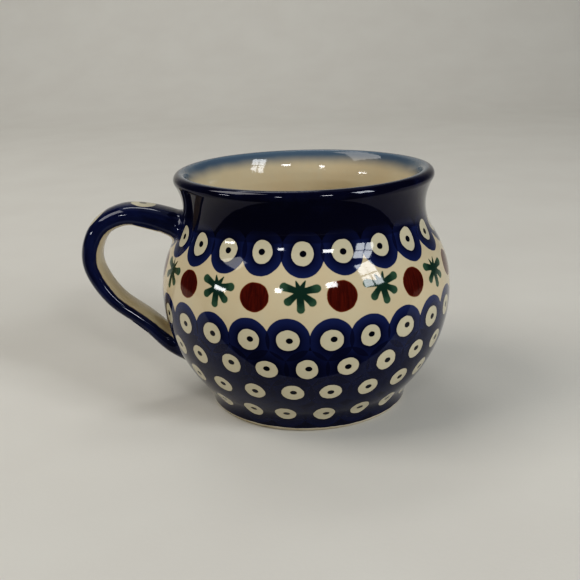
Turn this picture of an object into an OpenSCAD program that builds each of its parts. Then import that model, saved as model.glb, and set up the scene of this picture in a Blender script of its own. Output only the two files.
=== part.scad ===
// Round-bellied stoneware mug with a dark collar and an ear-shaped strap handle.
// The pot is a solid of revolution about Z, standing on z = 0; the handle lies in the XZ plane, towards -X.
// Every wall line is the glazed outside line moved inwards by a depth, so the layers nest face to face.

/* [Pot] */
// Largest outside radius, at the belly
belly_r = 50; // [48:0.5:52]
// Height of the widest line of the belly
belly_z = 41; // [39:0.5:43]
// Radius of the arc below the widest line
lower_curve = 50; // [48:0.5:52]
// Radius of the arc above the widest line
upper_curve = 34; // [33:0.5:36]
// Outside radius at the waist of the neck
neck_r = 41.2; // [40.5:0.1:42]
// Radius of the hollow arc of the neck
neck_curve = 17.6; // [16:0.2:19]
// How far the lip flares from upright, in degrees
lip_flare = 30; // [26:1:34]
// Half the thickness of the wall, and the radius of the rounded lip
lip_r = 2.1; // [2:0.1:2.4]
// Height of the inside floor
floor_z = 7.6; // [7:0.2:9]
// Radius of the inside corner round the floor
floor_curve = 14; // [8:1:18]

/* [Foot] */
// Outside radius of the foot, where the hollow arc above it would stand upright
foot_r = 34.6; // [34:0.1:35.6]
// Radius of the hollow arc between foot and belly
foot_curve = 14; // [10:0.5:18]
// Inside radius of the foot ring
foot_inner_r = 28.6; // [26:0.2:30]
// Height of the foot ring, which is also the depth of the recess under the base
foot_h = 3.2; // [3:0.1:3.8]
// Radius of the worn edges of the foot ring
foot_edge = 1.4; // [0.8:0.1:1.8]

/* [Glaze] */
// Thickness of the glaze coat
glaze = 0.4; // [0.3:0.05:0.6]
// Height above the table at which the outside glaze stops
glaze_line = 1.3; // [1.2:0.1:2]
// Height of the line between collar and belly decoration
collar_z = 64.5; // [62:0.5:67]
// How far the collar's colour runs down inside the lip
rim_band = 4.5; // [3:0.5:7]

/* [Handle] */
// Half the width of the strap at five even stations from neck to belly
strap_half_w = [7.8, 7, 6.8, 6.4, 7.6]; // [5.8:0.1:8.6]
// Half the thickness of the strap at the same stations
strap_half_t = [5.2, 3.8, 3.6, 2.9, 4.4]; // [2.5:0.1:6]
// How far the joining slip spreads round each end of the strap
slip_spread = 1.8; // [1.2:0.1:2.4]
// How far the joining slip reaches along the strap, as a share of the strap's length
slip_reach = 0.1; // [0.08:0.01:0.12]

/* [Hidden] */

$fn = 128;
wall = 2 * lip_r;

// Centres of the tangent arcs of the outside line, in the plane [radius, height].
lower_c = [belly_r - lower_curve, belly_z];
upper_c = [belly_r - upper_curve, belly_z];
foot_c = tangent_centre(lower_c, lower_curve + foot_curve, foot_r + foot_curve, -1);
neck_c = tangent_centre(upper_c, upper_curve + neck_curve, neck_r + neck_curve, 1);
lip_c = neck_c + (neck_curve + lip_r) * [-cos(lip_flare), sin(lip_flare)];
floor_c = [lower_c.x + sqrt(pow(lower_curve - wall - floor_curve, 2)
                            - pow(belly_z - floor_z - floor_curve, 2)),
           floor_z + floor_curve];

// Directions at which neighbouring arcs touch.
foot_turn = direction(foot_c - lower_c);
neck_turn = direction(neck_c - upper_c);
floor_turn = direction(floor_c - lower_c);
lip_top_z = lip_c.y + lip_r;

// How far from upright the wall still leans where the foot's worn edge takes over, and that edge's centre.
foot_lean = asin(max(0, (foot_edge - foot_c.y) / (foot_curve + glaze + foot_edge)));
foot_edge_c = [foot_c.x - (foot_curve + glaze + foot_edge) * cos(foot_lean), foot_edge];

// The handle's centre line from neck to belly, as [x, z]; the first and last points lie inside the wall.
strap_line = [[-36, 60], [-44, 63.4], [-53, 66.6], [-62.4, 67.4], [-71, 62.5], [-74.5, 51],
              [-68.2, 38.2], [-57, 29], [-48.2, 20.6], [-39, 16]];
strap_spans = len(strap_line) - 1;
strap_rings = 44;
strap_sides = 20;
// Shares of the strap's length at which its centre line passes through the outside of the pot.
neck_end = 0.1;
belly_end = 0.93;

// Helper functions
function direction(v) = atan2(v.y, v.x);
function arc(centre, radius, from, to, steps) =
    [for (i = [0:steps]) let (a = from + (to - from) * i / steps) centre + radius * [cos(a), sin(a)]];
// Centre at radius x, at a given distance above (side 1) or below (side -1) another centre.
function tangent_centre(other, distance, x, side) =
    [x, other.y + side * sqrt(pow(distance, 2) - pow(x - other.x, 2))];
// Value at share s of a list of evenly spaced stations.
function station(values, s) =
    lookup(s * (len(values) - 1), [for (i = [0:len(values) - 1]) [i, values[i]]]);

// The outside line of the pot, moved inwards by depth, from above the foot's worn edge up to the lip's flare.
function outside_line(depth) = concat(
    arc(foot_c, foot_curve + depth, 180 - foot_lean, 180 + foot_turn, 6),
    arc(lower_c, lower_curve - depth, foot_turn, 0, 20),
    arc(upper_c, upper_curve - depth, 0, neck_turn, 12),
    arc(neck_c, neck_curve + depth, 180 + neck_turn, 180 - lip_flare, 9));
// The inside line, from the lip's flare down to the middle of the floor, moved outwards by depth.
function inside_line(depth) = concat(
    arc(neck_c, neck_curve + wall - depth, 180 - lip_flare, 180 + neck_turn, 9),
    arc(upper_c, upper_curve - wall + depth, neck_turn, 0, 12),
    arc(lower_c, lower_curve - wall + depth, 0, floor_turn, 14),
    arc(floor_c, floor_curve + depth, floor_turn, -90, 8),
    [[0, floor_z - depth]]);
function lip_line(depth) = arc(lip_c, lip_r - depth, -lip_flare, 180 - lip_flare, 10);

// The closed section of the clay or glazed pot, without its cavity, with its outside moved inwards.
module solid_pot(depth) {
    rotate_extrude()
        polygon(concat([[0, 0], [foot_r - depth, 0]], outside_line(depth), lip_line(depth),
                       [[0, lip_c.y]]));
}

function reversed(list) = [for (i = [len(list) - 1:-1:0]) list[i]];

// Keeps what lies inside a box of the section plane.
module keep(r_from, r_to, z_from, z_to) {
    intersection() {
        children();
        translate([r_from, z_from])
            square([r_to - r_from, z_to - z_from]);
    }
}

// The strap's centre line and its direction at share s, on a smooth curve through strap_line.
function line_point(i) = i < 0 ? 2 * strap_line[0] - strap_line[1]
                       : i > strap_spans ? 2 * strap_line[strap_spans] - strap_line[strap_spans - 1]
                       : strap_line[i];
function line_at(s) =
    let (i = min(floor(s * strap_spans), strap_spans - 1), t = s * strap_spans - i,
         a = line_point(i - 1), b = line_point(i), c = line_point(i + 1), d = line_point(i + 2))
    0.5 * (2 * b + (c - a) * t + (2 * a - 5 * b + 4 * c - d) * t * t
           + (3 * b - a - 3 * c + d) * t * t * t);
function line_direction(s) =
    let (v = line_at(min(s + 0.002, 1)) - line_at(max(s - 0.002, 0))) v / norm(v);

// One oval ring of the strap at share s, grown outwards by grow.
function strap_ring(s, grow) =
    let (p = line_at(s), d = line_direction(s),
         w = station(strap_half_w, s) + grow, t = station(strap_half_t, s) + grow)
    [for (k = [0:strap_sides - 1]) let (a = 360 * k / strap_sides)
        [p.x - d.y * t * sin(a), w * cos(a), p.y + d.x * t * sin(a)]];
function ring_faces(rings, sides) = concat(
    [[for (k = [0:sides - 1]) k]],
    [for (r = [0:rings - 1], k = [0:sides - 1]) let (n = (k + 1) % sides)
        [r * sides + k, (r + 1) * sides + k, (r + 1) * sides + n]],
    [for (r = [0:rings - 1], k = [0:sides - 1]) let (n = (k + 1) % sides)
        [r * sides + k, (r + 1) * sides + n, r * sides + n]],
    [[for (k = [sides - 1:-1:0]) rings * sides + k]]);

// A length of the strap, from share s_from to s_to; grow gives the offset at each share.
module strap(s_from, s_to, rings, grow) {
    points = [for (i = [0:rings]) each strap_ring(s_from + (s_to - s_from) * i / rings,
                                                  grow(s_from + (s_to - s_from) * i / rings))];
    polyhedron(points, ring_faces(rings, strap_sides), convexity = 6);
}
module whole_strap(offset_by) {
    strap(0, 1, strap_rings, function(s) offset_by);
}
// Slip that swells from the strap's glaze towards the wall, round one end of the strap.
module slip_swell(s_from, s_to, glaze_end) {
    strap(s_from, s_to, 10,
          function(s) slip_spread * pow(min(1, abs(s - glaze_end) / slip_reach), 2));
}
module upper_swell() {
    slip_swell(0.02, neck_end + slip_reach, neck_end + slip_reach);
}
module lower_swell() {
    slip_swell(belly_end - slip_reach, 0.99, belly_end - slip_reach);
}

// Sub-parts
module body() {
    color("#b9a67f")
        rotate_extrude()
            keep(0, 2 * belly_r, foot_h, lip_top_z)
                polygon(concat([[0, 0], [foot_r - glaze, 0]], outside_line(glaze), lip_line(glaze),
                               inside_line(glaze)));
}

module foot_ring() {
    color("#c8b793")
        rotate_extrude()
            keep(foot_inner_r, 2 * belly_r, 0, foot_h)
                polygon(concat(
                    [[foot_inner_r, foot_h]],
                    arc([foot_inner_r + foot_edge, foot_edge], foot_edge, 180, 270, 5),
                    arc(foot_edge_c, foot_edge, -90, -foot_lean, 5),
                    outside_line(glaze)));
}

module handle() {
    color("#b9a67f")
        difference() {
            whole_strap(-glaze);
            solid_pot(glaze);
        }
}

module upper_handle_joint() {
    color("#1b2348")
        difference() {
            upper_swell();
            whole_strap(-glaze);
            solid_pot(glaze);
        }
}

module lower_handle_joint() {
    color("#1b2348")
        difference() {
            lower_swell();
            whole_strap(-glaze);
            solid_pot(glaze);
        }
}

module inside_glaze() {
    color("#d8c79c")
        rotate_extrude()
            keep(0, 2 * belly_r, 0, lip_top_z - rim_band)
                polygon(concat(inside_line(0), reversed(inside_line(glaze))));
}

module collar_glaze() {
    color("#141a38")
        difference() {
            rotate_extrude()
                union() {
                    keep(0, 2 * belly_r, collar_z, lip_top_z)
                        polygon(concat(outside_line(0), lip_line(0),
                                       reversed(lip_line(glaze)), reversed(outside_line(glaze))));
                    keep(0, 2 * belly_r, lip_top_z - rim_band, lip_top_z)
                        polygon(concat(inside_line(0), reversed(inside_line(glaze))));
                }
            whole_strap(-glaze);
            upper_swell();
        }
}

module belly_glaze() {
    color("#26306a")
        difference() {
            rotate_extrude()
                keep(0, 2 * belly_r, glaze_line, collar_z)
                    polygon(concat([[foot_r, 0]], outside_line(0),
                                   reversed(outside_line(glaze)), [[foot_r - glaze, 0]]));
            whole_strap(-glaze);
            upper_swell();
            lower_swell();
        }
}

module base_glaze() {
    color("#d8c79c")
        translate([0, 0, foot_h - glaze])
            cylinder(h = glaze, r = foot_inner_r);
}

module handle_glaze() {
    color("#1b2348")
        difference() {
            strap(neck_end + slip_reach, belly_end - slip_reach, 32, function(s) 0);
            whole_strap(-glaze);
        }
}

body();
foot_ring();
handle();
upper_handle_joint();
lower_handle_joint();
inside_glaze();
collar_glaze();
belly_glaze();
base_glaze();
handle_glaze();
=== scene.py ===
"""Looks of a round-bellied stoneware mug: glaze skins with a stamped folk decoration around the CAD pot.

Shapes are worked out in millimetres in the CAD frame, with +Z up the pot's axis and the handle towards -X.
"""

import math
from collections import namedtuple

import bpy
import numpy as np
from mathutils import Matrix, Vector


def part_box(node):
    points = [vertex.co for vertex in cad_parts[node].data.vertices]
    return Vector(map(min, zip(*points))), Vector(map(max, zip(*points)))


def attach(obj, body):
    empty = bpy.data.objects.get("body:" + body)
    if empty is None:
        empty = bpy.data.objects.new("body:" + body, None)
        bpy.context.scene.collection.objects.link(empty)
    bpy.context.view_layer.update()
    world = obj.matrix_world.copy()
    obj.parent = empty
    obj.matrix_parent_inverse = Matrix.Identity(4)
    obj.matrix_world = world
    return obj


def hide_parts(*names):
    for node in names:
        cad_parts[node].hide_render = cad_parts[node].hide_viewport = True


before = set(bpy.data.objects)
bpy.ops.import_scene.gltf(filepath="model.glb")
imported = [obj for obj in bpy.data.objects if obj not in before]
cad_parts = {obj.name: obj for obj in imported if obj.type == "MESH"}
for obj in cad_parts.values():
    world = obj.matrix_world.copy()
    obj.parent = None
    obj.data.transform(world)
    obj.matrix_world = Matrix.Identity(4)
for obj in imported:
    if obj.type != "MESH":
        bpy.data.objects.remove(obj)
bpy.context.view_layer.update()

MM = 0.001
TURN = 2 * math.pi
SEGMENTS = 288  # faces round the pot
SIDES = 96  # faces round the handle

# The pot's arcs, in mm, as in the CAD part.
BELLY_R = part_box("belly_glaze")[1].y / MM
BELLY_Z = 41.0
LOWER_CURVE, UPPER_CURVE = 50.0, 34.0
NECK_R, NECK_CURVE = 41.2, 17.6
LIP_FLARE, LIP_R = 30.0, 2.1
FLOOR_Z, FLOOR_CURVE = 7.6, 14.0
FOOT_R, FOOT_CURVE = 34.6, 14.0
FOOT_INNER_R, FOOT_EDGE = 28.6, 1.4
FOOT_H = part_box("foot_ring")[1].z / MM
GLAZE, GLAZE_LINE, COLLAR_Z, RIM_BAND = 0.4, 1.3, 64.5, 4.5
WALL = 2 * LIP_R

# The handle's centre line from neck to belly as [x, z], and its half width and half thickness, in mm.
STRAP_LINE = [(-36, 60), (-44, 63.4), (-53, 66.6), (-62.4, 67.4), (-71, 62.5), (-74.5, 51),
              (-68.2, 38.2), (-57, 29), (-48.2, 20.6), (-39, 16)]
STRAP_HALF_W = [7.8, 7, 6.8, 6.4, 7.6]
STRAP_HALF_T = [5.2, 3.8, 3.6, 2.9, 4.4]


# ---------------------------------------------------------------- the pot's lines

def arc(centre, radius, start, end, out):
    """Rows of [radius, height, outward radial and upward parts] along an arc; out is -1 where hollow."""
    count = max(2, round(abs(math.radians(end - start)) * radius / 0.1))
    a = np.radians(np.linspace(start, end, count + 1))
    d = np.c_[np.cos(a), np.sin(a)]
    return np.c_[np.array(centre) + radius * d, out * d]


def direction(a, b):
    return math.degrees(math.atan2(b[1] - a[1], b[0] - a[0]))


def tangent_centre(other, distance, x, side):
    return (x, other[1] + side * math.sqrt(distance ** 2 - (x - other[0]) ** 2))


lower_c = (BELLY_R - LOWER_CURVE, BELLY_Z)
upper_c = (BELLY_R - UPPER_CURVE, BELLY_Z)
foot_c = tangent_centre(lower_c, LOWER_CURVE + FOOT_CURVE, FOOT_R + FOOT_CURVE, -1)
neck_c = tangent_centre(upper_c, UPPER_CURVE + NECK_CURVE, NECK_R + NECK_CURVE, 1)
flare = math.radians(LIP_FLARE)
lip_c = (neck_c[0] - (NECK_CURVE + LIP_R) * math.cos(flare),
         neck_c[1] + (NECK_CURVE + LIP_R) * math.sin(flare))
floor_reach, floor_drop = LOWER_CURVE - WALL - FLOOR_CURVE, BELLY_Z - FLOOR_Z - FLOOR_CURVE
floor_c = (lower_c[0] + math.sqrt(floor_reach ** 2 - floor_drop ** 2), FLOOR_Z + FLOOR_CURVE)
foot_turn, neck_turn = direction(lower_c, foot_c), direction(upper_c, neck_c)
floor_turn = direction(lower_c, floor_c)
LIP_TOP = lip_c[1] + LIP_R
foot_lean = math.asin(max(0, (FOOT_EDGE - foot_c[1]) / (FOOT_CURVE + GLAZE + FOOT_EDGE)))
foot_edge_c = (foot_c[0] - (FOOT_CURVE + GLAZE + FOOT_EDGE) * math.cos(foot_lean), FOOT_EDGE)


def straight(start, end, out):
    count = max(2, round(math.dist(start, end) / 0.1))
    points = np.linspace(start, end, count + 1)
    return np.c_[points, np.tile(out, (count + 1, 1))]


def joined(*parts):
    """One line of the parts end to end, without the points they share."""
    line = np.vstack(parts)
    keep = np.r_[True, np.hypot(*np.diff(line[:, :2], axis=0).T) > 1e-6]
    return line[keep]


outside = joined(
    arc(foot_c, FOOT_CURVE, 180 - math.degrees(foot_lean), 180 + foot_turn, -1),
    arc(lower_c, LOWER_CURVE, foot_turn, 0, 1),
    arc(upper_c, UPPER_CURVE, 0, neck_turn, 1),
    arc(neck_c, NECK_CURVE, 180 + neck_turn, 180 - LIP_FLARE, -1),
    arc(lip_c, LIP_R, -LIP_FLARE, 90, 1))
lip_inside = arc(lip_c, LIP_R, 90, 180 - LIP_FLARE, 1)
inside = joined(
    arc(neck_c, NECK_CURVE + WALL, 180 - LIP_FLARE, 180 + neck_turn, 1),
    arc(upper_c, UPPER_CURVE - WALL, neck_turn, 0, -1),
    arc(lower_c, LOWER_CURVE - WALL, 0, floor_turn, -1),
    arc(floor_c, FLOOR_CURVE, floor_turn, -90, -1),
    straight((floor_c[0], FLOOR_Z), (0, FLOOR_Z), (0, 1)))


def run(line):
    """How far each point lies along a line."""
    return np.r_[0, np.cumsum(np.hypot(*np.diff(line[:, :2], axis=0).T))]


def resampled(line, step):
    """The line's ends and evenly spaced points between them, about step apart."""
    s = run(line)
    t = np.linspace(0, s[-1], max(2, round(s[-1] / step)) + 1)
    made = np.column_stack([np.interp(t, s, line[:, k]) for k in range(4)])
    made[:, 2:] /= np.hypot(made[:, 2], made[:, 3])[:, None]
    return made


def between(line, low, high):
    """The stretch of an upright line between two heights, with its ends exactly there."""
    up = line if line[0, 1] < line[-1, 1] else line[::-1]
    rows = up[(up[:, 1] > low) & (up[:, 1] < high)]
    ends = [np.array([np.interp(z, up[:, 1], up[:, k]) for k in range(4)]) for z in (low, high)]
    cut = np.vstack([ends[0], rows, ends[1]])
    return cut if line is up else cut[::-1]


# ---------------------------------------------------------------- the hand in the shape

def unevenness(angle, z):
    """How far the wall stands out from a perfect turning, in mm: a slow roll round the pot and up it."""
    return (0.10 * np.sin(2 * angle + 0.7 + z / 60) + 0.06 * np.sin(3 * angle - z / 21)
            + 0.035 * np.sin(5 * angle + z / 13 + 1.9) + 0.03 * np.sin(z / 3.9 + np.sin(angle)))


def lathe_rings(line):
    """Rings of points and outward directions for a line turned round the axis, unevenness included."""
    angle = np.linspace(0, TURN, SEGMENTS, endpoint=False)[None, :]
    r, z, nr, nz = (line[:, k, None] for k in range(4))
    fade = np.clip(r / 12, 0, 1) * np.clip(z / 6, 0, 1)
    off = fade * unevenness(angle, z)
    by_angle = fade * (unevenness(angle + 0.01, z) - unevenness(angle - 0.01, z)) / 0.02 / np.maximum(r, 1)
    by_height = fade * (unevenness(angle, z + 0.1) - unevenness(angle, z - 0.1)) / 0.2
    radial, up = nr + by_height * nr * nz, nz - by_height * nr * nr
    rr, zz = r + off * nr, z + off * nz
    c, s = np.cos(angle), np.sin(angle)
    points = np.stack([rr * c, rr * s, zz * np.ones_like(c)], -1)
    normals = np.stack([radial * c + by_angle * s, radial * s - by_angle * c, up * np.ones_like(c)], -1)
    return points, normals / np.linalg.norm(normals, axis=-1, keepdims=True)


def closed_piece(name, rings, normals, spots=None):
    """A closed mesh from a loop of rings, each joined to the next and the last to the first."""
    verts, around, shade, marks, number = [], [], [], [], 0
    for k, ring in enumerate(rings):
        pole = np.ptp(ring, axis=0).max() < 1e-6
        count = 1 if pole else len(ring)
        verts.append(ring[:count])
        shade.append(normals[k][:count])
        if spots is not None:
            marks.append(spots[k][:count])
        around.append(number + (np.zeros(len(ring), int) if pole else np.arange(count)))
        number += count
    verts = np.vstack(verts) * MM
    faces = []
    for k, a in enumerate(around):
        b = around[(k + 1) % len(around)]
        for a0, a1, b1, b0 in zip(a, np.roll(a, -1), np.roll(b, -1), b):
            face = list(dict.fromkeys((int(a0), int(a1), int(b1), int(b0))))
            if len(face) > 2:
                faces.append(face)
    volume = sum(np.dot(verts[f[0]], np.cross(verts[f[1]], verts[f[2]])) for f in faces)
    if volume < 0:
        faces = [f[::-1] for f in faces]
    mesh = bpy.data.meshes.new(name)
    mesh.from_pydata(verts.tolist(), [], faces)
    mesh.polygons.foreach_set("use_smooth", [True] * len(faces))
    if spots is not None:
        attribute = mesh.attributes.new("strap_at", "FLOAT_VECTOR", "POINT")
        attribute.data.foreach_set("vector", np.vstack(marks).astype(np.float32).ravel())
    mesh.normals_split_custom_set_from_vertices(np.vstack(shade).tolist())
    piece = bpy.data.objects.new(name, mesh)
    bpy.context.scene.collection.objects.link(piece)
    return piece


def skin(name, line, depth):
    """A coat of glaze or clay of even depth under a line turned round the axis."""
    points, normals = lathe_rings(line)
    under = points - depth * normals
    return closed_piece(name, np.concatenate([points, under[::-1]]),
                        np.concatenate([normals, -normals[::-1]]))


belly = skin("belly_glaze_skin", resampled(between(outside, GLAZE_LINE, COLLAR_Z), 1.0), GLAZE)
rim_low = LIP_TOP - RIM_BAND
collar = skin("collar_glaze_skin", resampled(joined(
    between(outside, COLLAR_Z, LIP_TOP), lip_inside, between(inside, rim_low, inside[0, 1])), 0.5), GLAZE)
lining = skin("inside_glaze_skin", resampled(inside[inside[:, 1] < rim_low + 0.05], 1.1), GLAZE)

recess = joined(
    straight((0, FOOT_H - GLAZE), (FOOT_INNER_R - 2, FOOT_H - GLAZE), (0, -1)),
    arc((FOOT_INNER_R - 2, FOOT_H - GLAZE - 2), 2, 90, 30, -1))
base = skin("base_glaze_skin", resampled(recess, 0.9), 0.3)


# Where the pot's wall takes over, in degrees on the foot's hollow arc.
FOOT_HIDDEN = math.degrees(math.asin((FOOT_H - foot_c[1]) / (FOOT_CURVE + GLAZE)))


def ring_section():
    """The foot ring's bare clay section, as one loop with worn edges and its top under the pot."""
    loop = joined(
        straight((FOOT_INNER_R, FOOT_H), (FOOT_INNER_R, FOOT_EDGE), (-1, 0)),
        arc((FOOT_INNER_R + FOOT_EDGE, FOOT_EDGE), FOOT_EDGE, 180, 270, 1),
        straight((FOOT_INNER_R + FOOT_EDGE, 0), (foot_edge_c[0], 0), (0, -1)),
        arc(foot_edge_c, FOOT_EDGE, -90, -math.degrees(foot_lean), 1),
        arc(foot_c, FOOT_CURVE + GLAZE, 180 - math.degrees(foot_lean), 180 - FOOT_HIDDEN, -1))
    return resampled(loop, 0.35)


foot_points, foot_normals = lathe_rings(ring_section())
foot = closed_piece("foot_ring_clay", foot_points, foot_normals)


# ---------------------------------------------------------------- the handle

def catmull_rom(points, per_span):
    p = np.array([2 * np.array(points[0]) - points[1], *points, 2 * np.array(points[-1]) - points[-2]], float)
    rows = []
    for i in range(len(points) - 1):
        a, b, c, d = p[i:i + 4]
        t = np.linspace(0, 1, per_span, endpoint=False)[:, None]
        rows.append(0.5 * (2 * b + (c - a) * t + (2 * a - 5 * b + 4 * c - d) * t ** 2
                           + (3 * b - a - 3 * c + d) * t ** 3))
    return np.vstack([*rows, p[-2]])


def smoothed(values, sigma):
    """Values blurred along their first axis, with both ends kept in line."""
    reach = int(4 * sigma)
    k = np.exp(-0.5 * (np.arange(-reach, reach + 1) / sigma) ** 2)
    k /= k.sum()
    v = values.reshape(len(values), -1)
    padded = np.vstack([2 * v[0] - v[reach:0:-1], v, 2 * v[-1] - v[-2:-reach - 2:-1]])
    blurred = [np.convolve(padded[:, j], k, "valid") for j in range(v.shape[1])]
    return np.column_stack(blurred).reshape(values.shape)


STEP = 0.5
centre = catmull_rom(STRAP_LINE, 60)
share = np.linspace(0, 1, len(centre))
travel = np.r_[0, np.cumsum(np.hypot(*np.diff(centre, axis=0).T))]
at = np.arange(0, travel[-1], STEP)
share = np.interp(at, travel, share)
centre = smoothed(np.column_stack([np.interp(at, travel, centre[:, k]) for k in (0, 1)]), 3.2)
stations = np.linspace(0, 1, len(STRAP_HALF_W))
half_w = smoothed(np.interp(share, stations, STRAP_HALF_W), 12) + 0.06 * np.sin(at / 11 + 1)
half_t = smoothed(np.interp(share, stations, STRAP_HALF_T), 12) + 0.05 * np.sin(at / 8)
heading = np.gradient(centre, axis=0)
heading /= np.hypot(*heading.T)[:, None]
inward = np.column_stack([-heading[:, 1], heading[:, 0]])  # towards the finger hole

ring_angle = np.linspace(0, TURN, SIDES, endpoint=False)
SQUARENESS = 2.25  # 2 is an ellipse, and more is boxier
across = np.sign(np.cos(ring_angle)) * np.abs(np.cos(ring_angle)) ** (2 / SQUARENESS)
deep = np.sign(np.sin(ring_angle)) * np.abs(np.sin(ring_angle)) ** (2 / SQUARENESS)


def strap_points(position, grow=0.0):
    """Points of the strap at a position in mm along it, one for each angle round the section."""
    i = np.asarray(position) / STEP
    pick = [np.interp(i, np.arange(len(at)), v) for v in
            (centre[:, 0], centre[:, 1], half_w, half_t, inward[:, 0], inward[:, 1])]
    x, z, w, t, nx, nz = pick
    lift = (t + grow) * deep
    return np.stack(np.broadcast_arrays(x + nx * lift, (w + grow) * across, z + nz * lift), -1)


def off_pot(points):
    """Distance from the pot's outside, its nearest point there, and the outward direction at that point."""
    flat = points.reshape(-1, 3)
    r = np.hypot(flat[:, 0], flat[:, 1])
    near = outside[::3]
    gap = (r[:, None] - near[None, :, 0]) ** 2 + (flat[:, 2, None] - near[None, :, 1]) ** 2
    best = near[np.argmin(gap, 1)]
    distance = (r - best[:, 0]) * best[:, 2] + (flat[:, 2] - best[:, 1]) * best[:, 3]
    c, s = flat[:, 0] / r, flat[:, 1] / r
    out = np.stack([best[:, 2] * c, best[:, 2] * s, best[:, 3]], -1)
    foot_point = flat - distance[:, None] * out
    return distance.reshape(points.shape[:-1]), foot_point.reshape(points.shape), out.reshape(points.shape)


FILLET_UP, FILLET_OUT, FILLET_RINGS = 3.0, 2.6, 12


def crossing(positions, level):
    """For each angle, where along the strap its distance from the pot first drops to a level."""
    distance = np.array([off_pot(strap_points(p))[0] for p in positions])
    found = []
    for k in range(SIDES):
        d = distance[:, k] - level
        i = int(np.argmax(d < 0))
        share_of_step = d[i - 1] / (d[i - 1] - d[i])
        found.append(positions[i - 1] + share_of_step * (positions[i] - positions[i - 1]))
    return np.array(found)


def end_rings(positions):
    """Where the strap leaves its own line at one end, and the fillet rings from there down onto the pot."""
    leaves, lands = crossing(positions, FILLET_UP), crossing(positions, 0)
    start, corner = strap_points(leaves), strap_points(lands)
    _, corner, out = off_pot(corner)
    axis = strap_points(lands, 0) * [1, 0, 1]
    axis[:, 1] = 0
    middle = np.stack([np.interp(lands / STEP, np.arange(len(at)), centre[:, 0]), np.zeros(SIDES),
                       np.interp(lands / STEP, np.arange(len(at)), centre[:, 1])], -1)
    away = corner - middle
    away -= (away * out).sum(-1, keepdims=True) * out
    away /= np.linalg.norm(away, axis=-1, keepdims=True)
    _, end, end_out = off_pot(corner + FILLET_OUT * away)
    rings = []
    for t in np.linspace(0, 1, FILLET_RINGS + 1)[1:]:
        rings.append((1 - t) ** 2 * start + 2 * t * (1 - t) * corner + t ** 2 * end)
    return leaves, lands, rings, end, end_out


total = at[-1]
from_neck = end_rings(np.arange(50, 0, -STEP))
from_belly = end_rings(np.arange(total - 50, total, STEP))
NECK_SPLIT, BELLY_SPLIT = 26.0, total - 34.0
first = np.linspace(0, 1, 22)[:, None]
plain = [from_neck[0] + (NECK_SPLIT - from_neck[0]) * t for t in first]
plain += [np.full(SIDES, p) for p in np.arange(NECK_SPLIT + 0.8, BELLY_SPLIT - 0.4, 0.8)]
plain += [BELLY_SPLIT + (from_belly[0] - BELLY_SPLIT) * t for t in first]
rings = [r for r in reversed(from_neck[2])] + [strap_points(p) for p in plain] + from_belly[2]
along = ([from_neck[0] - 0.5 * (k + 1) for k in reversed(range(FILLET_RINGS))] + plain
         + [from_belly[0] + 0.5 * (k + 1) for k in range(FILLET_RINGS)])
rings, along = np.array(rings), np.array(along)

distance, _, out = off_pot(rings)
rings += (np.exp(-np.maximum(distance, 0) / 4) * unevenness(np.arctan2(rings[..., 1], rings[..., 0]),
                                                            rings[..., 2]))[..., None] * out
down = np.gradient(rings, axis=0)
sideways = np.roll(rings, -1, 1) - np.roll(rings, 1, 1)
facing = np.cross(down, sideways)
facing /= np.linalg.norm(facing, axis=-1, keepdims=True)
if (facing[len(rings) // 2] * (rings[len(rings) // 2] - rings[len(rings) // 2].mean(0))).sum() < 0:
    facing = -facing
facing[0], facing[-1] = from_neck[4], from_belly[4]
spots = np.stack([along - from_neck[0].mean(), np.broadcast_to(across, along.shape) * 7,
                  -np.broadcast_to(np.sin(ring_angle), along.shape)], -1)


def strap_piece(name, first_ring, last_ring, inner_positions, sunk=(None, None)):
    """A stretch of the handle's glaze as a closed sleeve, with its pot end let into the pot's glaze."""
    shell = list(rings[first_ring:last_ring + 1])
    shade = list(facing[first_ring:last_ring + 1])
    spot = list(spots[first_ring:last_ring + 1])
    for end, into in zip((0, -1), sunk):
        if into is not None:
            place = 0 if end == 0 else len(shell)
            shell.insert(place, shell[end] - 0.3 * into)
            shade.insert(place, shade[end])
            spot.insert(place, spot[end])
    for p in reversed(inner_positions):
        inner = strap_points(p, -GLAZE)
        shell.append(inner)
        shade.append(-(inner - inner.mean(0)) / np.linalg.norm(inner - inner.mean(0), axis=-1, keepdims=True))
        spot.append(spot[-1])
    return closed_piece(name, np.array(shell), np.array(shade), np.array(spot))


neck_rings = FILLET_RINGS + len(first) - 1
belly_rings = len(rings) - FILLET_RINGS - len(first)
upper_slip = strap_piece("upper_handle_slip", 0, neck_rings,
                         [from_neck[1], from_neck[0], plain[len(first) - 1]], (from_neck[4], None))
strap = strap_piece("handle_glaze_skin", neck_rings, belly_rings, plain[len(first) - 1:-len(first) + 1][::2]
                    + [plain[-len(first)]])
lower_slip = strap_piece("lower_handle_slip", belly_rings, len(rings) - 1,
                         [plain[-len(first)], from_belly[0], from_belly[1]], (None, from_belly[4]))


# ---------------------------------------------------------------- node trees as arithmetic

class Val:
    """A number inside a node tree, which Python's arithmetic turns into Math nodes."""

    def __init__(self, graph, out):
        self.graph, self.out = graph, out

    def __add__(self, other):
        return self.graph.math("ADD", self, other)

    __radd__ = __add__

    def __mul__(self, other):
        return self.graph.math("MULTIPLY", self, other)

    __rmul__ = __mul__

    def __sub__(self, other):
        return self.graph.math("SUBTRACT", self, other)

    def __rsub__(self, other):
        return self.graph.math("SUBTRACT", other, self)

    def __truediv__(self, other):
        return self.graph.math("DIVIDE", self, other)

    def __neg__(self):
        return self * -1.0


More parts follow.
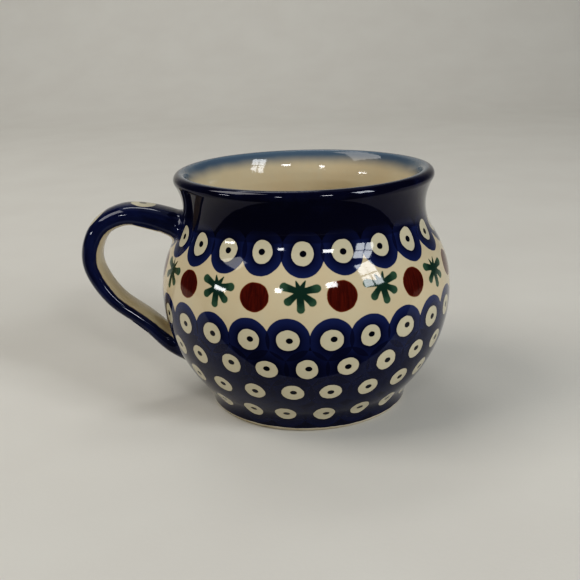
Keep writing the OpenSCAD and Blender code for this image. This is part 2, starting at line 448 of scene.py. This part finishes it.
class Graph:
    """A material's node tree, with short calls for the nodes that the patterns use."""

    def __init__(self, name, **shader):
        self.material = bpy.data.materials.new(name)
        self.material.use_nodes = True
        self.tree = self.material.node_tree
        self.tree.nodes.clear()
        self.shader = self.tree.nodes.new("ShaderNodeBsdfPrincipled")
        output = self.tree.nodes.new("ShaderNodeOutputMaterial")
        self.tree.links.new(self.shader.outputs[0], output.inputs["Surface"])
        for socket, value in shader.items():
            self.shader.inputs[socket.replace("_", " ")].default_value = value
        coordinates = self.node("ShaderNodeTexCoord")
        self.mm = self.vector("SCALE", coordinates.outputs["Object"], Scale=1 / MM)

    def feed(self, socket, value):
        value = value.out if isinstance(value, Val) else value
        if isinstance(value, bpy.types.NodeSocket):
            self.tree.links.new(value, socket)
        else:
            socket.default_value = value

    def node(self, kind, *values, named=None, **settings):
        made = self.tree.nodes.new(kind)
        for key, value in settings.items():
            setattr(made, key, value)
        for socket, value in zip(made.inputs, values):
            self.feed(socket, value)
        for key, value in (named or {}).items():
            self.feed(made.inputs[key], value)
        return made

    def math(self, operation, *values):
        return Val(self, self.node("ShaderNodeMath", *values, operation=operation).outputs[0])

    def vector(self, operation, *values, **named):
        made = self.node("ShaderNodeVectorMath", *values, named=named, operation=operation)
        return made.outputs["Value" if operation in ("LENGTH", "DOT_PRODUCT") else "Vector"]

    def xyz(self, x, y, z=0.0):
        return self.node("ShaderNodeCombineXYZ", x, y, z).outputs[0]

    def split(self, vector):
        return [Val(self, o) for o in self.node("ShaderNodeSeparateXYZ", vector).outputs]

    def step(self, value, start, end):
        """0 up to start, 1 from end on, and a smooth rise between; start may be above end for a fall."""
        flip = start > end
        low, high = (end, start) if flip else (start, end)
        made = self.node("ShaderNodeMapRange", value, interpolation_type="SMOOTHSTEP", named={
            "From Min": low, "From Max": high, "To Min": float(flip), "To Max": float(not flip)})
        return Val(self, made.outputs[0])

    def noise(self, size, detail=2.0, rough=0.5, vector=None):
        """Noise from -1 to 1 with blobs of about the given size in mm."""
        made = self.node("ShaderNodeTexNoise", named={
            "Vector": vector or self.mm, "Scale": 1 / size, "Detail": detail, "Roughness": rough})
        return (Val(self, made.outputs[0]) - 0.5) * 2.4

    def random(self, x, y):
        """Three even random numbers from -1 to 1 that belong to a pair of whole numbers."""
        made = self.node("ShaderNodeTexWhiteNoise", noise_dimensions="2D",
                         named={"Vector": self.xyz(x + 0.5, y)})
        return self.split(self.vector("MULTIPLY_ADD", made.outputs["Color"], (2, 2, 2), (-1, -1, -1)))

    def mix(self, share, a, b):
        made = self.node("ShaderNodeMix", data_type="RGBA")
        for index, value in ((0, share), (6, a), (7, b)):
            self.feed(made.inputs[index], value)
        return made.outputs[2]

    def bump(self, *heights):
        """Feeds the shader's normal from a chain of (height, depth in mm) pairs."""
        last = None
        for height, depth in heights:
            made = self.node("ShaderNodeBump",
                             named={"Strength": 1.0, "Distance": depth * MM, "Height": height})
            if last:
                self.tree.links.new(last, made.inputs["Normal"])
            last = made.outputs[0]
        self.tree.links.new(last, self.shader.inputs["Normal"])

    def finish(self, colour, roughness):
        self.feed(self.shader.inputs["Base Color"], colour)
        self.feed(self.shader.inputs["Roughness"], roughness)
        return self.material


def srgb(red, green, blue):
    """An 8-bit screen colour as linear RGBA."""
    return tuple(c / 12.92 if c < 0.04045 else ((c + 0.055) / 1.055) ** 2.4
                 for c in (red / 255, green / 255, blue / 255)) + (1.0,)


# ---------------------------------------------------------------- colours

CREAM, CREAM_WARM, CREAM_COOL = srgb(203, 190, 158), srgb(200, 181, 146), srgb(194, 187, 161)
SPECK = srgb(150, 118, 78)
EYE_CREAM = srgb(196, 187, 158)
NAVY, COBALT, COBALT_LIGHT = srgb(9, 12, 42), srgb(36, 46, 82), srgb(40, 50, 88)
COLLAR_BLACK, LIP_SLATE = srgb(9, 9, 36), srgb(84, 98, 112)
PUPIL = srgb(8, 14, 30)
RED, RED_DEEP, RED_EDGE = srgb(90, 34, 20), srgb(64, 20, 12), srgb(122, 62, 40)
GREEN, GREEN_LIGHT = srgb(34, 58, 49), srgb(68, 92, 74)
CLAY, CLAY_DARK = srgb(200, 190, 166), srgb(178, 162, 132)


def cream_ground(g):
    """Cream clay under clear glaze: slow warm and cool patches, and a few fine iron specks."""
    patches = g.step(g.noise(14, 3), -1.0, 1.0)
    ground = g.mix(patches, CREAM_WARM, CREAM)
    ground = g.mix(g.step(g.noise(5, 2), 0.1, 1.1) * 0.6, ground, CREAM_COOL)
    return g.mix(g.step(g.noise(0.9, 1), 1.02, 1.25) * 0.55, ground, SPECK)


GLAZE_SHADER = {"IOR": 1.5, "Specular_IOR_Level": 0.36}  # a soft glaze, a little duller than clear glass


# ---------------------------------------------------------------- the pot's decoration

foot_top = BELLY_Z + LOWER_CURVE * math.sin(math.radians(foot_turn))
neck_low = BELLY_Z + UPPER_CURVE * math.sin(math.radians(neck_turn))
# The wall's arcs as (centre height, radius, lowest and highest point), for the distance up the wall.
WALL_ARCS = [(foot_c[1], FOOT_CURVE, foot_c[1], foot_top), (BELLY_Z, LOWER_CURVE, foot_top, BELLY_Z),
             (BELLY_Z, UPPER_CURVE, BELLY_Z, neck_low), (neck_c[1], NECK_CURVE, neck_low, neck_c[1] + 5)]


def wall_sum(z):
    return sum(curve * math.asin((min(max(z, low), high) - centre_z) / curve)
               for centre_z, curve, low, high in WALL_ARCS)


WALL_START = wall_sum(BELLY_Z)


def height_up(z):
    """Distance up the wall from the belly's widest line to a height, in mm."""
    return wall_sum(z) - WALL_START


def pot_place(g):
    """Turns round the axis, radius, and distance up the wall from the belly's widest line, in mm."""
    x, y, z = g.split(g.mm)
    turns = g.math("ARCTAN2", x, -y) / TURN
    radius = Val(g, g.vector("LENGTH", g.xyz(x, y)))
    up = -WALL_START
    for centre_z, curve, low, high in WALL_ARCS:
        held = g.math("MINIMUM", g.math("MAXIMUM", z, low), high)
        up = g.math("ARCSINE", (held - centre_z) / curve) * curve + up
    return turns, radius, up, z


DISC_R, EYE_R, PUPIL_R = 7.0, 3.45, 0.92
SOFT = 0.16  # half the width of a painted edge


# A row of marks: how many there are and their phase in marks; the row's height, the slow drift of its spacing
# round the pot, and the sway and rise of each mark from its place, all in mm; its seed; and each stamp's
# width and height as shares of the plain stamp's.
Row = namedtuple("Row", "count phase height drift sway rise seed wide tall", defaults=(1.0, 1.0))


def row_steps(turns, row):
    """Place along a row, in marks."""
    eased = turns - turns.graph.math("SINE", turns * TURN) * (row.drift / (TURN * BELLY_R))
    return eased * row.count + row.phase


def stamp_row(g, place, row, wobble):
    """A row of stamped discs: how many cover a point, then the nearest disc's distance, place and marks."""
    turns, radius, up, _ = place
    pitch = radius * (TURN / row.count)
    step = row_steps(turns, row)
    left = g.math("FLOOR", step)
    found = []
    for number in (left, left + 1.0):
        a, b, _ = g.random(g.math("FLOORED_MODULO", number, float(row.count)), row.seed)
        u = ((step - number) * pitch - a * row.sway) / row.wide
        v = (up - height_up(row.height) - b * row.rise) / row.tall
        found.append((u, v, Val(g, g.vector("LENGTH", g.xyz(u, v)))))
    (u0, v0, d0), (u1, v1, d1) = found
    cover = (g.step(d0 + wobble, DISC_R + SOFT, DISC_R - SOFT)
             + g.step(d1 + wobble, DISC_R + SOFT, DISC_R - SOFT))
    nearer = g.math("LESS_THAN", d1, d0)
    own = g.math("FLOORED_MODULO", left + nearer, float(row.count))
    u, v = u0 + (u1 - u0) * nearer, v0 + (v1 - v0) * nearer
    return cover, g.math("MINIMUM", d0, d1), u, v, g.random(own, row.seed + 0.37)


def eye(g, u, v, marks, ragged, lean=(0.0, 0.0)):
    """The cream eye and dark pupil of a stamped disc, as two masks."""
    a, b, c = marks
    long_way = Val(g, g.vector("LENGTH", g.xyz(u * (1.0 + 0.05 * a), v * (1.0 - 0.05 * a))))
    white = g.step(long_way + ragged - b * 0.12, EYE_R + SOFT, EYE_R - SOFT)
    pu, pv = u - (lean[0] + 0.35 * b), v - (lean[1] + 0.35 * c)
    away = Val(g, g.vector("LENGTH", g.xyz(pu * 0.85, pv)))
    pupil = g.step(away + ragged * 0.4, PUPIL_R + SOFT, PUPIL_R - SOFT)
    return white, pupil, long_way


UPPER_ROW = Row(22, 0.05, 63.0, 0.5, 0.4, 0.3, 1, 0.94, 1.07)
LOWER_ROWS = [Row(24, 0.45, 37.8, -1.0, 0.5, 0.3, 2), Row(24, 0.0, 28.0, 0.5, 0.5, 0.3, 3),
              Row(23, 0.45, 18.4, 0.5, 0.5, 0.4, 4), Row(20, -0.4, 8.2, 1.0, 0.5, 0.4, 5)]
DOT_ROW = Row(12, -0.4, 51.2, 1.5, 0.6, 0.4, 6)
SPRIG_ROW = Row(12, 0.1, 52.8, 1.5, 0.7, 0.4, 7)
DOT_R = 4.5
# Each lobe of a sprig: its tip in mm from the sprig's heart, and its radius at the heart and at the tip.
LOBES = [((-4.6, 1.5), 0.9, 1.3), ((4.8, 1.0), 0.9, 1.3), ((-3.4, -2.9), 0.8, 1.25),
         ((3.6, -3.1), 0.8, 1.25), ((0.3, -5.2), 1.0, 1.2), ((-1.2, 3.2), 0.8, 0.2), ((1.5, 3.3), 0.8, 0.2)]
COLLAR_LOW = 65.7  # height of the collar's painted edge between the discs


def hand(g):
    """The wavering of painted edges, and a raggeder one with nicks for the stamped eyes, in mm."""
    wobble = g.noise(2.6, 2) * 0.14
    return wobble, wobble * 1.5 + g.step(g.noise(1.5, 1), 0.75, 1.15) * 0.6


def blue_tone(g, cover, distance, long_way):
    """How light the cobalt is: lightest in one stamp's open ring, dark where stamps lap or pigment pools."""
    lapped = g.step(cover, 2.1, 0.9)
    ring = g.step(distance, EYE_R, DISC_R - 0.4) * 0.55 + 0.45
    pooled = 1.0 - g.step(g.math("ABSOLUTE", long_way - (EYE_R + 0.35)), 0.5, 0.0) * 0.55
    streaks = g.noise(7, 3, 0.6) * 0.18 + 0.9
    return g.math("MINIMUM", (lapped * 0.7 + 0.3) * ring * pooled * streaks, 1.0)


def upper_band(g, place, wobble, ragged, ground):
    """The upper row of discs over a ground, running up into the collar."""
    _, _, up, z = place
    cover, distance, u, v, marks = stamp_row(g, place, UPPER_ROW, wobble)
    white, pupil, long_way = eye(g, u, v, marks, ragged, (0.05, -0.1))
    height = height_up(UPPER_ROW.height)
    filled = g.math("MAXIMUM", g.math("MINIMUM", cover, 1.0), g.step(up, height - 1.5, height - 0.5))
    tone = blue_tone(g, cover, distance, long_way)
    blue = g.mix(tone, NAVY, COBALT)
    dark = g.step(z + wobble, COLLAR_LOW - 0.3, COLLAR_LOW + 0.3)
    blue = g.mix(dark * (1.0 - g.math("MINIMUM", cover, 1.0) * 0.45), blue, COLLAR_BLACK)
    blue = g.mix(g.step(z, COLLAR_LOW + 1.0, COLLAR_LOW + 4.5), blue, COLLAR_BLACK)
    paint = g.mix(filled, ground, blue)
    paint = g.mix(white, paint, eye_white(g))
    return g.mix(pupil, paint, PUPIL)


def lobed(g, u, v, turn):
    """Distance from the edge of a green sprig, in mm, negative inside."""
    c, s = g.math("COSINE", turn), g.math("SINE", turn)
    point = g.xyz(u * c + v * s, v * c - u * s)
    nearest = None
    for (x, y), root, tip in LOBES:
        square = x * x + y * y
        along = Val(g, g.vector("DOT_PRODUCT", point, (x / square, y / square, 0)))
        along = g.math("MINIMUM", g.math("MAXIMUM", along, 0.0), 1.0)
        rest = g.vector("SUBTRACT", point, g.vector("SCALE", (x, y, 0), Scale=along))
        gap = Val(g, g.vector("LENGTH", rest)) - (along * along * (tip - root) + root)
        nearest = gap if nearest is None else g.math("SMOOTH_MIN", nearest, gap, 0.5)
    return nearest


def cell(g, place, row):
    """Place within the nearest cell of a row of marks, in mm, and the cell's random numbers."""
    turns, radius, up, _ = place
    step = row_steps(turns, row)
    number = g.math("FLOOR", step + 0.5)
    marks = g.random(g.math("FLOORED_MODULO", number, float(row.count)), row.seed)
    u = (step - number) * radius * (TURN / row.count) - marks[0] * row.sway
    return u, up - height_up(row.height) - marks[1] * row.rise, marks


def belly_material():
    g = Graph("belly_glaze_paint", **GLAZE_SHADER)
    place = pot_place(g)
    _, _, up, z = place
    wobble, ragged = hand(g)
    paint = cream_ground(g)

    u, v, marks = cell(g, place, DOT_ROW)
    dot = Val(g, g.vector("LENGTH", g.xyz(u, v * (0.98 + 0.04 * marks[2])))) + wobble * 1.2
    brushed = g.noise(1.0, 2, 0.6, vector=g.xyz(u * 1.6, v * 0.18, marks[2] * 9.0))
    red = g.mix(g.step(brushed, -0.7, 0.9), RED_DEEP, RED)
    red = g.mix(g.step(dot, DOT_R - 0.55, DOT_R + 0.1) * 0.5, red, RED_EDGE)
    paint = g.mix(g.step(dot, DOT_R + SOFT + 0.05, DOT_R - SOFT), paint, red)

    u, v, marks = cell(g, place, SPRIG_ROW)
    gap = lobed(g, u, v, marks[2] * 0.16) + wobble * 1.1
    heart = Val(g, g.vector("LENGTH", g.xyz(u, v)))
    green = g.mix(g.step(heart + g.noise(1.4, 2), 2.6, 5.6) * 0.75, GREEN, GREEN_LIGHT)
    paint = g.mix(g.step(gap, SOFT + 0.04, -SOFT), paint, green)

    paint = upper_band(g, place, wobble, ragged, paint)

    cover = distance = white = pupil = long_way = None
    for row in LOWER_ROWS:
        row_cover, row_distance, u, v, marks = stamp_row(g, place, row, wobble)
        row_white, row_pupil, row_long = eye(g, u, v, marks, ragged, (0.3, 0.15))
        if cover is None:
            cover, distance, white, pupil, long_way = row_cover, row_distance, row_white, row_pupil, row_long
            top = g.math("MINIMUM", row_cover, 1.0)
        else:
            cover = cover + row_cover
            distance = g.math("MINIMUM", distance, row_distance)
            white = g.math("MAXIMUM", white, row_white)
            pupil = g.math("MAXIMUM", pupil, row_pupil)
            long_way = g.math("MINIMUM", long_way, row_long)
    first = height_up(LOWER_ROWS[0].height)
    # The lower rows' cobalt is darker towards the foot, and lighter over the upper half of the first row.
    above_foot = g.step(up, first - 14.0, first + 5.0)
    tone = blue_tone(g, cover, distance, long_way) * g.step(cover, 0.0, 0.8) * (above_foot * 0.65 + 0.35)
    blue = g.mix(tone, NAVY, COBALT)
    blue = g.mix(g.step(up, first + 2.0, first + 7.5) * 0.5, blue, COBALT_LIGHT)
    filled = g.math("MAXIMUM", top, g.step(up, first + 1.5, first + 0.5))
    paint = g.mix(filled, paint, blue)
    paint = g.mix(white, paint, eye_white(g))
    paint = g.mix(pupil, paint, PUPIL)
    bare = g.step(z + g.noise(6, 2) * 0.25, GLAZE_LINE + 0.35, GLAZE_LINE + 0.05)
    paint = g.mix(bare, paint, CLAY)
    glaze_relief(g)
    return g.finish(paint, glaze_roughness(g))


def eye_white(g):
    """The stamped eyes' cream, a little cooler and more even than the ground."""
    return g.mix(g.step(g.noise(4, 2), -0.6, 1.0) * 0.5, EYE_CREAM, CREAM_COOL)


def glaze_relief(g, rings=0.0):
    """The soft unevenness of a poured glaze, with fine orange peel and a few pinholes."""
    heights = [(g.noise(16, 1), 0.055), (g.noise(3.2, 2), 0.006), (g.step(g.noise(0.8, 0), 1.06, 1.2), -0.03)]
    if rings:
        z = g.split(g.mm)[2]
        heights.append((g.math("SINE", z * 1.9 + g.noise(20, 1)), rings))
    g.bump(*heights)


def glaze_roughness(g):
    return g.noise(9, 3) * 0.012 + 0.055


def rim_paint(g, ground):
    """The collar's blue breaking to slate over the lip and fading into the ground inside."""
    x, y, z = g.split(g.mm)
    depth = LIP_TOP - z + g.noise(9, 2) * 0.5
    return g.mix(g.step(depth, 6.2, 1.2), ground, LIP_SLATE)


def collar_material():
    g = Graph("collar_glaze_paint", **GLAZE_SHADER)
    place = pot_place(g)
    _, radius, _, z = place
    wobble, ragged = hand(g)
    ground = cream_ground(g)
    outer = upper_band(g, place, wobble, ragged, ground)
    streaks = g.step(g.noise(8, 3, 0.6), -0.4, 1.4)
    outer = g.mix(g.step(z, 72.0, LIP_TOP) * streaks * 0.5, outer, COBALT)
    inner = rim_paint(g, ground)
    crest = radius + (LIP_TOP - z) * 0.35
    paint = g.mix(g.step(crest + wobble, lip_c[0] + 0.9, lip_c[0] - 0.6), outer, inner)
    glaze_relief(g)
    return g.finish(paint, glaze_roughness(g))


def inside_material():
    g = Graph("inside_glaze_cream", **GLAZE_SHADER)
    paint = rim_paint(g, cream_ground(g))
    glaze_relief(g, 0.012)
    return g.finish(paint, glaze_roughness(g))


EYE_PITCH, FIRST_EYE = 15.5, 10.5


def handle_material():
    g = Graph("handle_glaze_paint", **GLAZE_SHADER)
    spot = g.node("ShaderNodeAttribute", attribute_name="strap_at").outputs["Vector"]
    along, across_mm, side = g.split(spot)
    wobble, ragged = hand(g)
    step = (along - FIRST_EYE) / EYE_PITCH
    number = g.math("FLOOR", step + 0.5)
    marks = g.random(number, 71.0)
    u = (step - number) * EYE_PITCH + marks[0] * 0.5
    v = across_mm * 0.9 + marks[1] * 0.5
    white, pupil, long_way = eye(g, u * 0.93, v, marks, ragged, (0.2, 0.0))
    last = float(from_belly[0].mean() - from_neck[0].mean())  # where the lower joint begins
    outer = g.step(side, 0.1, 0.3) * g.step(along, 2.0, 3.0) * g.step(along, last + 3.0, last + 2.0)
    streaks = g.noise(2.4, 3, 0.6, vector=g.xyz(along * 0.25, across_mm, side * 3.0))
    blue = g.mix(g.step(streaks, -0.8, 1.2), NAVY, COBALT)
    blue = g.mix(g.step(side, 0.35, -0.35) * 0.4, blue, COBALT)
    paint = g.mix(g.step(side + wobble * 0.35, -0.72, -0.60), cream_ground(g), blue)
    paint = g.mix(white * outer, paint, eye_white(g))
    paint = g.mix(pupil * outer, paint, PUPIL)
    glaze_relief(g)
    return g.finish(paint, glaze_roughness(g))


def clay_material(name, light, dark):
    """Fired stoneware: matt, mottled, with iron specks, fine grit and faint turning lines."""
    g = Graph(name, IOR=1.5)
    colour = g.mix(g.step(g.noise(5, 4, 0.6), -0.9, 0.9), dark, light)
    colour = g.mix(g.step(g.noise(0.7, 1), 0.95, 1.2) * 0.6, colour, SPECK)
    z = g.split(g.mm)[2]
    g.bump((g.noise(0.45, 3, 0.65), 0.03), (g.math("SINE", z * 9.0 + g.noise(4, 2)), 0.01))
    return g.finish(colour, g.noise(1.2, 2) * 0.05 + 0.72)


inside_paint, handle_paint = inside_material(), handle_material()
bare_clay = clay_material("bare_stoneware", CLAY, CLAY_DARK)
clay = clay_material("stoneware_under_glaze", srgb(192, 172, 134), srgb(168, 144, 104))
PIECES = [
    # piece, material, slot, CAD nodes that it stands for
    (belly, belly_material(), "belly_glaze", ["belly_glaze"]),
    (collar, collar_material(), "collar_glaze", ["collar_glaze"]),
    (lining, inside_paint, "inside_glaze", ["inside_glaze"]),
    (base, inside_paint, "inside_glaze", ["base_glaze"]),
    (foot, bare_clay, "bare_clay", ["foot_ring"]),
    (strap, handle_paint, "handle_glaze", ["handle_glaze"]),
    (upper_slip, handle_paint, "handle_glaze", ["upper_handle_joint"]),
    (lower_slip, handle_paint, "handle_glaze", ["lower_handle_joint"]),
]
for piece, material, slot, stands_for in PIECES:
    piece.data.materials.append(material)
    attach(piece, "root")
    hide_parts(*stands_for)
for name in ("body", "handle"):
    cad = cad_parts[name].data
    cad.materials.clear()
    cad.materials.append(clay)


# ---------------------------------------------------------------- floor, light and camera

def look_at(position, target):
    """A placement at a point whose -Z looks at a target, with +Y as near up as it goes."""
    turn = (Vector(target) - Vector(position)).to_track_quat("-Z", "Y")
    return Matrix.Translation(position) @ turn.to_matrix().to_4x4()


def floor_sweep():
    """A pale floor that curves up into a low wall well behind the mug."""
    half, back, curve, top = 3.0, 1.5, 0.6, 1.6
    profile = [(-3.0, 0.0), (back - curve, 0.0)]
    profile += [(back - curve + curve * math.sin(a), curve - curve * math.cos(a))
                for a in np.linspace(0.05, math.pi / 2, 24)]
    profile += [(back, top)]
    verts = [(x, y, z) for y, z in profile for x in (-half, half)]
    faces = [(2 * i, 2 * i + 1, 2 * i + 3, 2 * i + 2) for i in range(len(profile) - 1)]
    mesh = bpy.data.meshes.new("floor")
    mesh.from_pydata(verts, [], faces)
    mesh.polygons.foreach_set("use_smooth", [True] * len(faces))
    made = bpy.data.objects.new("floor", mesh)
    bpy.context.scene.collection.objects.link(made)
    g = Graph("pale_floor")
    g.bump((g.noise(1.2, 3), 0.02))
    pale = g.mix(g.step(g.noise(60, 3), -1.0, 1.0), srgb(208, 204, 195), srgb(213, 210, 201))
    mesh.materials.append(g.finish(pale, g.noise(3, 2) * 0.03 + 0.85))


def dark_card():
    """A dark card on the floor in front, seen only in the glaze, which keeps its blacks deep."""
    half, near, far = 1.5, -0.06, -1.0
    mesh = bpy.data.meshes.new("dark_card")
    corners = [(-half, near, MM), (-half, far, MM), (half, far, MM), (half, near, MM)]
    mesh.from_pydata(corners, [], [(0, 1, 2, 3)])
    made = bpy.data.objects.new("dark_card", mesh)
    bpy.context.scene.collection.objects.link(made)
    for seen_by in ("camera", "diffuse", "shadow", "transmission", "volume_scatter"):
        setattr(made, f"visible_{seen_by}", False)
    g = Graph("dark_card")
    mesh.materials.append(g.finish(srgb(60, 60, 60), 0.9))


def softbox(name, azimuth, elevation, distance, width, height, radiance,
            colour=(1, 1, 1), target=(0, 0, 0.05)):
    """A rectangular light, placed by azimuth to the right of front and elevation from the mug, in degrees."""
    a, e = math.radians(azimuth), math.radians(elevation)
    place = distance * Vector((math.sin(a) * math.cos(e), -math.cos(a) * math.cos(e), math.sin(e)))
    light = bpy.data.lights.new(name, "AREA")
    light.shape, light.size, light.size_y = "RECTANGLE", width, height
    light.energy = radiance * math.pi * width * height
    light.color = colour
    made = bpy.data.objects.new(name, light)
    made.matrix_world = look_at(place + Vector((0, 0, 0.05)), target)
    bpy.context.scene.collection.objects.link(made)


floor_sweep()
dark_card()
world = bpy.data.worlds.new("studio")
bpy.context.scene.world = world
world.use_nodes = True
world.node_tree.nodes["Background"].inputs["Color"].default_value = (0.85, 0.92, 1.0, 1)
world.node_tree.nodes["Background"].inputs["Strength"].default_value = 0.06
softbox("overhead", 180, 72, 1.4, 1.4, 1.2, 0.32, (0.96, 0.98, 1.0))
softbox("key", -80, 50, 1.25, 0.7, 0.7, 4.6, (1.0, 0.97, 0.93))
for azimuth in (49.5, 58.5):
    for elevation in (22.5, 35.0):
        softbox(f"window_pane_{azimuth:.0f}_{elevation:.0f}", azimuth, elevation,
                1.4, 0.17, 0.28, 16.0, (0.92, 0.96, 1.0))
softbox("small_window", 19.5, 27, 1.6, 0.24, 0.15, 32.0)
softbox("left_lamp", -21.5, 22, 1.6, 0.14, 0.12, 30.0)
softbox("left_window", -69, 12, 1.5, 0.26, 0.08, 28.0)
softbox("backdrop", -160, 62, 1.6, 0.7, 0.5, 5.0, (1.0, 1.0, 1.0), (-0.5, 1.5, 0.3))

camera = bpy.data.cameras.new("camera")
camera.sensor_width, camera.lens = 36.0, 51.55
camera.clip_start, camera.clip_end = 0.01, 20.0
eye_object = bpy.data.objects.new("camera", camera)
yaw, pitch, roll = math.radians(-1.17), math.radians(-17.66), math.radians(-1.88)
eye_object.matrix_world = (Matrix.Translation((0.0, -0.2807, 0.1276)) @ Matrix.Rotation(-yaw, 4, "Z")
                           @ Matrix.Rotation(math.pi / 2 + pitch, 4, "X") @ Matrix.Rotation(roll, 4, "Z"))
bpy.context.scene.collection.objects.link(eye_object)
bpy.context.scene.camera = eye_object
view = bpy.context.scene.view_settings
view.view_transform = "Standard"
view.use_curve_mapping = True
tone = view.curve_mapping.curves[3]
for dark_in, dark_out in ((0.03, 0.012), (0.16, 0.145)):
    tone.points.new(dark_in, dark_out)
view.curve_mapping.update()
